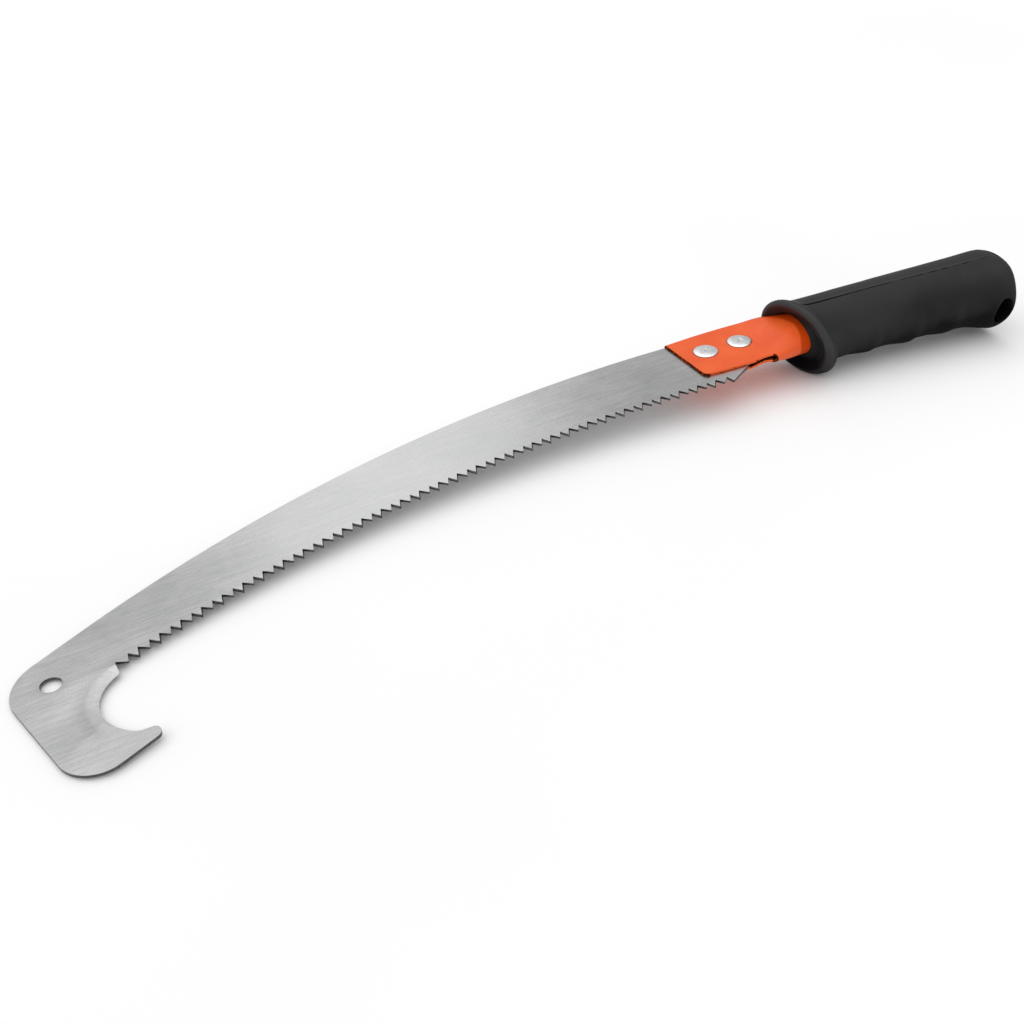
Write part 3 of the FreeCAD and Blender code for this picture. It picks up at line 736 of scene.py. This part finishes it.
def build_tube():
    EDGE = 0.30
    prof = [0.0, 0.12, 0.32, 0.68, 0.88, 1.0]

    def pull_of(w):
        t = abs(2 * w - 1)
        return EDGE * t ** 3
    xs = [20.0 * (j / 16.0) for j in range(0, 17)]        # 0 stands for the front edge
    rel = [20.0 + 7.58 * sin(pi / 2 * j / 26.0) for j in range(1, 27)]
    after = [27.64] + [27.8 + 18.2 * (j / 28.0) for j in range(1, 29)] + [46.0 + 16.0 * j / 16.0 for j in range(1, 17)]
    after += [66.0, 80.0, 100.0, 130.0, 155.0, 163.0, 165.4]
    rows = [("f", t) for t in xs] + [("x", v) for v in rel] + [("x", v) for v in after]
    ncol = None
    verts, wear_and_painted_light = [], []

    def row_pts(row, w):
        inset = WALL * w
        pull = pull_of(w)
        kind, v = row
        if kind == "x":
            if v >= 165.4:
                v = 166.0 - pull if v > 165.3 else v
            return [(v, y, z) for y, z in section(v, inset, pull)], v
        t = v / 20.0
        sec = section(lerp(-14.0, 20.0, t), inset, pull)
        res = []
        for y, z in sec:
            xf = front_x(min(y, 24.4)) + pull
            x = lerp(xf, 20.0, t)
            res.append((x, y, z))
        return res, lerp(-14.0, 20.0, t)

    grids = []                                # [w][row][col] -> vertex index
    for w in prof:
        g = []
        for ri, row in enumerate(rows):
            pts, xx = row_pts(row, w)
            open_ = slit_y(xx) is not None
            ids = []
            for ci, (x, y, z) in enumerate(pts):
                on_front = ri == 0
                on_slit = open_ and (ci == 0 or ci == len(pts) - 1)
                on_rear = ri == len(rows) - 1
                cut = on_front or on_slit or on_rear
                # the cut walls and the tube's inside get 1, which the paint colours dark: partly bare steel, partly
                # painted shade; a cut's outer rim gets 0.4
                wv = 1.0 if w > 0.05 and (cut or w > 0.95) else (0.40 if cut else 0.0)
                # painted shade along the slit on the lower cheek, where the gap between the cheeks lies in shadow
                if w < 0.05 and open_ and z < 0 and x > 12.5 and y > slit_y(xx) - 1.1:
                    wv = max(wv, 0.9 * smooth01((x - 12.5) / 2.0))
                verts.append(W(x, y, z))
                wear_and_painted_light.append(wv)
                ids.append(len(verts) - 1)
            g.append(ids)
        grids.append(g)
    M = len(grids[0][0])
    faces = []
    nr = len(rows)
    opened = [slit_y(row_pts(r, 0.0)[1]) is not None for r in rows]
    for wi in (0, len(prof) - 1):
        g = grids[wi]
        for r in range(nr - 1):
            for c in range(M - 1):
                faces.append((g[r][c], g[r][c + 1], g[r + 1][c + 1], g[r + 1][c]))
    for wi in range(len(prof) - 1):
        a, b = grids[wi], grids[wi + 1]
        for c in range(M - 1):
            faces.append((a[0][c], a[0][c + 1], b[0][c + 1], b[0][c]))
            faces.append((a[-1][c], a[-1][c + 1], b[-1][c + 1], b[-1][c]))
        for r in range(nr - 1):
            if opened[r]:
                for c in (0, M - 1):
                    faces.append((a[r][c], a[r + 1][c], b[r + 1][c], b[r][c]))
    return make("painted_socket_tube", verts, faces, PAINT, "socket_tube", sharp=38.0, attr=wear_and_painted_light, merge=1.2e-5)


TUBE = build_tube()

# ---- rivets -------------------------------------------------------------------
RIVETS = (("rivet_front", -2.50, 3.75, 0.3), ("rivet_rear", 18.06, 3.75, 1.25))


def build_rivet(node, rx, ry, turn):
    z = CHEEK
    h, t = 1.15, 1.2
    # the darkness down the head's lower rim is painted shade where it meets the cheek
    # (radius, height, darkness): head from its centre out, shank, formed tail
    prof = [(0.30, z + h - 0.16, 0.6), (0.62, z + h - 0.145, 0.5), (0.95, z + h - 0.06, 0.15), (1.25, z + h - 0.005, 0.0),
            (1.8, z + h, 0.0), (2.6, z + h - 0.02, 0.0), (3.4, z + h - 0.07, 0.0), (4.2, z + h - 0.155, 0.0),
            (4.9, z + h - 0.27, 0.0), (5.5, z + h - 0.40, 0.0), (5.95, z + h - 0.55, 0.0), (6.25, z + h - 0.68, 0.0),
            (6.42, z + h - 0.80, 0.10), (6.49, z + h - 0.92, 0.35), (6.47, z + 0.12, 0.75), (6.38, z + 0.01, 1.0),
            (2.5, z + 0.01, 1.0), (2.5, -z - 0.01, 1.0), (5.1, -z - 0.01, 1.0), (5.19, -z - 0.15, 0.5),
            (5.15, -z - 0.45, 0.1), (4.9, -z - 0.75, 0.0), (4.4, -z - 0.98, 0.0), (3.6, -z - 1.12, 0.0),
            (2.6, -z - 1.17, 0.0), (1.4, -z - 1.19, 0.0), (0.5, -z - 1.195, 0.0)]
    n = 96
    verts, wear_and_painted_light, faces = [], [], []
    for r, zz, w in prof:
        for j in range(n):
            a = 2 * pi * j / n
            dz, ww = 0.0, w
            if zz > z + 0.3:
                # three short peening dents around the centre
                for q in range(3):
                    qa = turn + 2 * pi * q / 3
                    px, py = 1.35 * cos(qa), 1.35 * sin(qa)
                    d = (r * cos(a) - px) * -sin(qa) + (r * sin(a) - py) * cos(qa)
                    e = (r * cos(a) - px) * cos(qa) + (r * sin(a) - py) * sin(qa)
                    g = exp(-(d / 0.24) ** 2 - (e / 0.75) ** 2)
                    dz -= 0.13 * g
                    ww = max(ww, 0.75 * g)
                dz += 0.02 * noise.noise(Vector((r * cos(a) * 0.5 + rx, r * sin(a) * 0.5, 3.1)))
            verts.append(W(rx + r * cos(a), ry - r * sin(a), zz + min(dz, 0.0)))
            wear_and_painted_light.append(ww)
    for i in range(len(prof) - 1):
        for j in range(n):
            q = (j + 1) % n
            faces.append((i * n + j, i * n + q, (i + 1) * n + q, (i + 1) * n + j))
    for i, zz in ((0, z + h - 0.165), (len(prof) - 1, -z - 1.197)):
        verts.append(W(rx, ry, zz))
        wear_and_painted_light.append(0.6 if i == 0 else 0.0)
        c = len(verts) - 1
        for j in range(n):
            faces.append((i * n + j, i * n + (j + 1) % n, c))
    return make(node + "_formed", verts, faces, ZINC, node, sharp=50.0, attr=wear_and_painted_light)


for spec in RIVETS:
    build_rivet(*spec)

# ---- grip -----------------------------------------------------------------------
PHI = radians(-36.0)
ANG = (0, 22, 45, 70, 90, 108, 130, 155, 180)
KS = [radians(k) for k in ANG]


def rim(k):
    return tuple((21.8 * (1 + 0.147 * cos(radians(a)))) * k[0] + k[1] for a in ANG)


GRIP_ST = (
    (46.7, .40, rim((1, -1.7))),
    (47.3, .40, rim((1, -0.5))),
    (48.6, .40, rim((1, 0.4))),
    (50.1, .40, rim((1, 0.6))),
    (51.7, .40, rim((1, -0.1))),
    (53.8, .39, (23.0, 22.4, 21.1, 20.1, 19.5, 18.9, 18.3, 18.1, 18.1)),
    (57.0, .38, (20.6, 20.3, 19.6, 19.0, 18.6, 18.0, 17.4, 17.3, 17.2)),
    (63.0, .35, (19.8, 19.7, 19.3, 18.8, 18.4, 17.7, 17.0, 17.0, 16.9)),
    (70.0, .32, (19.6, 19.6, 19.3, 18.8, 18.4, 17.6, 16.9, 16.9, 16.8)),
    (77.0, .30, (20.4, 20.3, 19.7, 19.0, 18.4, 17.6, 16.8, 16.8, 16.8)),
    (83.0, .30, (21.4, 21.2, 20.2, 19.2, 18.5, 17.6, 16.8, 16.8, 16.7)),
    (89.0, .30, (20.6, 20.6, 20.0, 19.2, 18.5, 17.6, 16.7, 16.7, 16.7)),
    (97.0, .30, (20.9, 20.9, 20.2, 19.3, 18.6, 17.6, 16.6, 16.6, 16.6)),
    (104.0, .29, (22.2, 22.0, 21.0, 19.8, 18.8, 17.6, 16.5, 16.5, 16.5)),
    (109.0, .28, (22.9, 22.7, 21.3, 20.0, 18.9, 17.6, 16.5, 16.5, 16.4)),
    (115.0, .28, (21.9, 21.9, 21.1, 20.0, 18.9, 17.6, 16.4, 16.4, 16.3)),
    (123.0, .26, (22.2, 22.2, 21.4, 20.2, 19.0, 17.6, 16.3, 16.3, 16.2)),
    (130.0, .24, (23.5, 23.3, 22.1, 20.6, 19.2, 17.6, 16.2, 16.2, 16.1)),
    (135.0, .22, (24.1, 23.9, 22.6, 20.9, 19.3, 17.6, 16.2, 16.1, 16.1)),
    (142.0, .18, (23.6, 23.6, 22.7, 21.1, 19.4, 17.6, 16.1, 16.0, 16.0)),
    (150.0, .14, (24.1, 24.2, 23.3, 21.7, 19.6, 17.6, 16.1, 15.9, 15.8)),
    (158.0, .09, (25.9, 25.9, 24.6, 22.6, 19.9, 17.6, 16.0, 15.8, 15.7)),
    (165.0, .05, (27.9, 27.8, 26.0, 23.6, 20.2, 17.6, 16.0, 15.8, 15.6)),
    (170.5, .02, (29.0, 28.9, 26.9, 24.3, 20.4, 17.6, 16.0, 15.8, 15.5)),
    (174.0, .00, (28.6, 28.5, 26.5, 24.1, 20.2, 17.3, 15.9, 15.6, 15.3)),
    (176.2, .00, (27.2, 27.1, 25.3, 23.0, 19.2, 16.6, 15.2, 14.9, 14.7)),
    (177.0, .00, (24.8, 24.8, 23.8, 21.6, 18.2, 15.9, 14.5, 14.3, 14.2)),
)
GX = [s[0] for s in GRIP_ST]
GT = [s[1] for s in GRIP_ST]
GR = [[s[2][j] for s in GRIP_ST] for j in range(len(ANG))]
HOLE_A, HOLE_X, HOLE_L, HOLE_W = radians(17.0), 169.3, 4.8, 8.4


def radius_at(rad, a):
    a = abs((a + pi) % (2 * pi) - pi)
    n = len(KS)
    i = 0
    while i < n - 2 and a > KS[i + 1]:
        i += 1

    def kr(j):
        if j < 0:
            return -KS[-j], rad[-j]
        if j > n - 1:
            return 2 * pi - KS[2 * (n - 1) - j], rad[2 * (n - 1) - j]
        return KS[j], rad[j]
    (q0, r0), (q1, r1), (q2, r2), (q3, r3) = kr(i - 1), kr(i), kr(i + 1), kr(i + 2)
    m1 = (r2 - r0) / (q2 - q0)
    m2 = (r3 - r1) / (q3 - q1)
    h = q2 - q1
    t = (a - q1) / h
    return ((2 * t ** 3 - 3 * t ** 2 + 1) * r1 + (t ** 3 - 2 * t ** 2 + t) * h * m1
            + (-2 * t ** 3 + 3 * t ** 2) * r2 + (t ** 3 - t ** 2) * h * m2)


_tube_polar = {}


def tube_polar(x, th):
    """The socket tube's outer radius about its axis at station x, direction th."""
    key = round(x * 4)
    if key not in _tube_polar:
        pts = []
        xx = key / 4.0
        for y, z in section(max(xx, 26.2), 0.0):
            pts.append((atan2(z, y - Y0) % (2 * pi), sqrt((y - Y0) ** 2 + z * z)))
        pts.sort()
        _tube_polar[key] = pts
    pts = _tube_polar[key]
    th = th % (2 * pi)
    for i in range(len(pts)):
        a, b = pts[i - 1], pts[i]
        a0, b0 = a[0] - (2 * pi if i == 0 else 0), b[0]
        if a0 <= th <= b0 and b0 - a0 > 1e-9:
            return lerp(a[1], b[1], (th - a0) / (b0 - a0))
    return pts[-1][1]


def part_angle(xc):
    """Where the mould's parting line runs, from the finger side."""
    return radians(curve1((46, 56, 94, 120, 148, 158, 177), (115, 114, 111, 107, 102.5, 101, 99), xc))


def build_grip():
    base = [2 * pi * j / 144 for j in range(144)]
    B0 = radians(105.0)
    extra = []
    for s in (1, -1):
        for d in (-3.4, -2.0, -1.25, -0.8, -0.42, 0.0, 0.42, 0.8, 1.25, 2.0, 3.4):
            extra.append((s * B0 + radians(d)) % (2 * pi))
    cols = [b for b in base if min(abs(((b - e + pi) % (2 * pi)) - pi) for e in extra) > radians(0.8)] + extra
    cols.sort()

    def warp(b, xc):
        s = 1.0
        b = (b + pi) % (2 * pi) - pi
        if b < 0:
            s, b = -1.0, -b
        aL = part_angle(xc)
        a = b * aL / B0 if b < B0 else aL + (b - B0) * (pi - aL) / (pi - B0)
        return s * a

    verts, wear_and_painted_light, rings = [], [], []

    def lip_cut(a):
        a = (a + pi) % (2 * pi) - pi
        return 1.3 * exp(-((a + radians(68)) / radians(34)) ** 2)

    def ring(xc, tilt, rfun, wfun=None, dx=0.0):
        ids = []
        for b in cols:
            a = warp(b, max(46.0, min(177.0, xc)))
            r, w = rfun(a, b)
            if r > 14.5:
                r -= 0.02
            th = a + PHI
            x = xc + tilt * r * cos(a) + dx
            verts.append(W(x, Y0 + r * cos(th), r * sin(th)))
            wear_and_painted_light.append(w)
            ids.append(len(verts) - 1)
        rings.append(ids)

    # inside, hugging the tube, from deep in the sleeve out to the collar's mouth, darkened as painted shade
    T, MX = 0.40, 48.75
    for xc in (150.0, 110.0, 80.0, 66.0):
        ring(xc, 0.0, lambda a, b: (TUBE_R + 0.02, 0.3))
    for xc in (60.0, 57.0, 54.0, 52.0, 50.5, 49.6):
        ring(xc, 0.0, lambda a, b, xc=xc: (tube_polar(xc, a + PHI) + 0.03, 0.75))
    # the bowl between the mouth and the rolled lip, which leans, with painted shade darkest at the mouth
    for q in range(0, 15):
        t = q / 14.0
        ids = []
        for bb in cols:
            a = warp(bb, 50.0)
            th = a + PHI
            rt = tube_polar(MX, th) + 0.06
            ro = 21.8 * (1 + 0.147 * cos(a)) - 6.3
            xo = 49.1 + T * ro * cos(a)
            ro = max(ro, tube_polar(max(xo, 40.0), th) + 0.35)
            s_ = smooth01(t) * 0.45 + t * 0.55
            r = lerp(rt + 0.25 * min(1.0, t * 6), ro, t)
            x = lerp(MX + 0.5 * (1 - min(1.0, t * 6)) ** 2, 49.1 + T * (21.8 * (1 + 0.147 * cos(a)) - 6.3) * cos(a), s_)
            x += 0.7 * sin(pi * t) * smooth01((MX + 1.5 - xo) / 8.0)
            r = max(r, tube_polar(max(x, 40.0), th) + 0.06)
            verts.append(W(x, Y0 + r * cos(th), r * sin(th)))
            wear_and_painted_light.append(max(0.55 * (1 - t) ** 2, 0.36 * (1 - smooth01((t - 0.75) / 0.25))))
            ids.append(len(verts) - 1)
        rings.append(ids)
    # the rolled lip; its crest and outer side carry a painted highlight
    for xc, off in ((48.72, -5.7), (48.3, -5.1), (47.86, -4.5), (47.42, -3.9), (47.05, -3.3), (46.80, -2.7), (46.68, -2.1), (46.72, -1.5), (46.92, -1.0), (47.3, -0.45), (47.85, 0.05), (48.5, 0.38), (49.2, 0.56)):
        ring(xc, T, lambda a, b, off=off: (21.8 * (1 + 0.147 * cos(a)) + off - lip_cut(a) * smooth01((off + 5.0) / 3.5), -0.42 * smooth01((off + 3.4) / 1.6)))

    # body
    def body(xc):
        rad = [curve1(GX, GR[j], xc) for j in range(len(ANG))]

        def f(a, b):
            r = radius_at(rad, a)
            if xc < 57.0:
                r -= lip_cut(a) * smooth01((57.0 - xc) / 5.0)
            w = 0.0
            aL = part_angle(xc)
            d = (abs(a) - aL) * r                       # mm round the grip from the parting line
            if 52.0 < xc < 172.0:
                s = 1.0 if a > 0 else -1.0
                broken = 0.55 + 0.9 * noise.noise(Vector((xc * 0.23, 3.7 * s, 1.3)))
                broken += 0.35 * noise.noise(Vector((xc * 1.1, 9.1 * s, 4.3)))
                fade = smooth01((xc - 52.0) / 4.0) * smooth01((172.0 - xc) / 8.0)
                m = max(0.10, min(1.0, broken)) * fade
                near = 1.0 - smooth01((xc - 62.0) / 30.0)
                m = min(1.0, m + 0.8 * near * fade)
                # the line's groove is also darkened in colour: painted shade
                g = exp(-(d / (0.26 + 0.22 * near)) ** 2)
                r -= (0.36 + 0.3 * near) * m * g
                w = max(w, m * g)
                # the moulding stands a touch proud beyond the line, and carries a painted highlight there
                if d > 0:
                    r += 0.10 * fade * exp(-d / 3.0)
                    w = w if w > 0.15 else -0.32 * fade * exp(-((d - 1.2) / 1.3) ** 2)
            if xc > 167.0:
                r -= 0.8 * smooth01((xc - 167.0) / 10.0) * exp(-((abs(a) - radians(112)) / radians(38)) ** 2)
            # soft flow marks between the finger swells
            r += 0.05 * noise.noise(Vector((xc * 0.10, cos(a) * 1.7, sin(a) * 1.7)))
            # rounded edge of the hang opening
            dxh = (xc + curve1(GX, GT, xc) * r * cos(a)) - HOLE_X
            tt = r * sin(a - HOLE_A)
            if cos(a - HOLE_A) > 0.2 and abs(dxh) < 9 and abs(tt) < 13:
                q = sqrt((dxh / HOLE_L) ** 2 + (tt / HOLE_W) ** 2)
                dist = (q - 1.0) * (HOLE_L if abs(dxh) * HOLE_W > abs(tt) * HOLE_L else HOLE_W)
                if dist < 1.1:
                    r -= 0.55 * (1 - max(0.0, dist) / 1.1) ** 2
            return r, w
        return f
    xc = 50.1
    while xc < 176.9:
        ring(xc, curve1(GX, GT, xc), body(xc))
        if xc < 56:
            xc += 0.55
        elif xc < 162:
            xc += 0.9
        elif xc < 173.5:
            xc += 0.55
        else:
            xc += 0.28
    # the heel's outer edge carries a faint painted highlight
    ring(176.97, 0.0, lambda a, b: (radius_at(GRIP_ST[-1][2], a) + 0.15, -0.25))
    # end face and mouth
    last = GRIP_ST[-1][2]
    for f, x in ((0.985, 177.0), (0.93, 177.0), (0.80, 176.98), (0.55, 176.95), (0.25, 176.95)):
        ring(x, 0.0, lambda a, b, f=f: (lerp(13.3, radius_at(last, a), f), 0.0))
    # the mouth's bore darkens inward: painted shade
    for r, x, w in ((13.1, 176.9, 0.0), (12.85, 176.75, 0.05), (12.66, 176.4, 0.15), (12.6, 175.8, 0.3), (12.6, 172.0, 0.5),
                    (12.6, 168.0, 0.6), (12.6, 166.02, 0.7), (13.1, 166.02, 0.7), (TUBE_R + 0.02, 166.02, 0.7), (TUBE_R + 0.02, 158.0, 0.5)):
        ring(x, 0.0, lambda a, b, r=r, w=w: (r, w))
    faces = []
    M = len(cols)
    nr = len(rings)
    for i in range(nr):
        a, b = rings[i], rings[(i + 1) % nr]
        for j in range(M):
            q = (j + 1) % M
            faces.append((a[j], a[q], b[q], b[j]))
    ob = make("moulded_grip", verts, faces, RUBBER, "grip", sharp=40.0, attr=wear_and_painted_light, merge=1e-6)

    # the hang opening through the heel into the mouth
    ax = Vector((0, -cos(PHI + HOLE_A), sin(PHI + HOLE_A)))
    tv = Vector((0, sin(PHI + HOLE_A), cos(PHI + HOLE_A)))
    o = Vector(W(HOLE_X, Y0))
    cv, cf = [], []
    n = 72
    for rad in (0.0095, 0.045):
        for j in range(n):
            a = 2 * pi * j / n
            p = o + ax * rad + Vector((HOLE_L / 1000 * cos(a), 0, 0)) + tv * (HOLE_W / 1000 * sin(a))
            cv.append(p)
    for j in range(n):
        q = (j + 1) % n
        cf.append((j, q, n + q, n + j))
    cf.append(tuple(range(n)))
    cf.append(tuple(reversed(range(n, 2 * n))))
    me = bpy.data.meshes.new("cut")
    me.from_pydata(cv, [], cf)
    bm = bmesh.new()
    bm.from_mesh(me)
    bmesh.ops.recalc_face_normals(bm, faces=bm.faces)
    bm.to_mesh(me)
    bm.free()
    cut = bpy.data.objects.new("cut", me)
    bpy.context.scene.collection.objects.link(cut)
    md = ob.modifiers.new("hang", "BOOLEAN")
    md.operation = "DIFFERENCE"
    md.solver = "EXACT"
    md.object = cut
    dg = bpy.context.evaluated_depsgraph_get()
    dg.update()
    res = bpy.data.meshes.new_from_object(ob.evaluated_get(dg))
    ob.modifiers.clear()
    ob.data = res
    bpy.data.objects.remove(cut)
    lay = res.attributes.get("wear_and_painted_light")
    # painted shade: the inside of the opening is coloured near black
    if lay is not None:
        for v in res.vertices:
            d = v.co - o
            along = d.dot(ax)
            q = sqrt((d.x * 1000 / HOLE_L) ** 2 + (d.dot(tv) * 1000 / HOLE_W) ** 2)
            if abs(q - 1.0) < 0.02 and 0.010 < along < 0.0272:
                lay.data[v.index].value = 0.8
    for p in res.polygons:
        p.use_smooth = True
    res.set_sharp_from_angle(angle=radians(40.0))
    if not res.materials:
        res.materials.append(RUBBER)
    return ob


GRIP = build_grip()

# ---- stage ------------------------------------------------------------------------
# The saw rests on its heel and the tip of its hook, so the floor leans a little in its frame.
SLOPE = -0.0521
FLOOR_Z = -0.00100


def floor_z(x):
    return FLOOR_Z + SLOPE * (x + 0.5395)


S = 30.0
me = bpy.data.meshes.new("studio_floor")
me.from_pydata([(-S, -S, floor_z(-S)), (S, -S, floor_z(S)), (S, S, floor_z(S)), (-S, S, floor_z(-S))], [], [(0, 1, 2, 3)])
floor = bpy.data.objects.new("studio_floor", me)
bpy.context.scene.collection.objects.link(floor)
fm, nt, b = new_mat("studio_floor")
k = Net(nt)
nt.links.new(k.ramp(k.noise(k.coord(), 3.0, 2.0), [(0.3, (0.90, 0.90, 0.90)), (0.7, (0.93, 0.93, 0.93))]), b.inputs["Base Color"])
b.inputs["Roughness"].default_value = 0.9
b.inputs["Specular IOR Level"].default_value = 0.1
me.materials.append(fm)

scene = bpy.context.scene
scene.view_settings.view_transform = "Standard"
scene.view_settings.look = "None"
world = bpy.data.worlds.new("studio")
scene.world = world
world.use_nodes = True
bg = world.node_tree.nodes["Background"]
bg.inputs["Color"].default_value = (1.0, 1.0, 1.0, 1.0)
bg.inputs["Strength"].default_value = 0.52


def area(name, at, to, size, power, colour=(1, 1, 1), size_y=None):
    d = bpy.data.lights.new(name, "AREA")
    d.energy = power
    d.size = size
    if size_y:
        d.shape = "RECTANGLE"
        d.size_y = size_y
    d.color = colour
    o = bpy.data.objects.new(name, d)
    scene.collection.objects.link(o)
    o.location = at
    o.rotation_euler = (Vector(to) - Vector(at)).to_track_quat("-Z", "Y").to_euler()
    return o


sun = bpy.data.lights.new("soft_key", "SUN")
sun.energy = 1.85
sun.angle = radians(100.0)
key = bpy.data.objects.new("soft_key", sun)
scene.collection.objects.link(key)
key.rotation_euler = Vector((-0.25, -0.10, 1.0)).to_track_quat("Z", "Y").to_euler()
area("far_softbox", (0.10, 1.62, 1.16), (-0.31, 0.0, 0.0), 0.62, 1.15, size_y=0.9)
area("far_fill", (-0.62, 1.55, 1.25), (-0.45, 0.0, 0.0), 0.80, 0.24, size_y=0.9)

# ---- camera -----------------------------------------------------------------------
cd = bpy.data.cameras.new("view")
cd.sensor_fit = "HORIZONTAL"
cd.sensor_width = 36.0
cd.lens = 36.0 * 1341.1066 / 1024.0
cd.clip_start = 0.01
cd.clip_end = 200.0
cam = bpy.data.objects.new("view", cd)
scene.collection.objects.link(cam)
right = Vector((0.9089797, -0.4106256, -0.0717107))
down = Vector((-0.2942704, -0.5102872, -0.8080915))
fwd = Vector((0.29523, 0.7556411, -0.5846757))
rot = Matrix((right, -down, -fwd)).transposed()
cam.matrix_world = Matrix.Translation(Vector((-0.49358, -0.52930, 0.35304))) @ rot.to_4x4()
scene.camera = cam
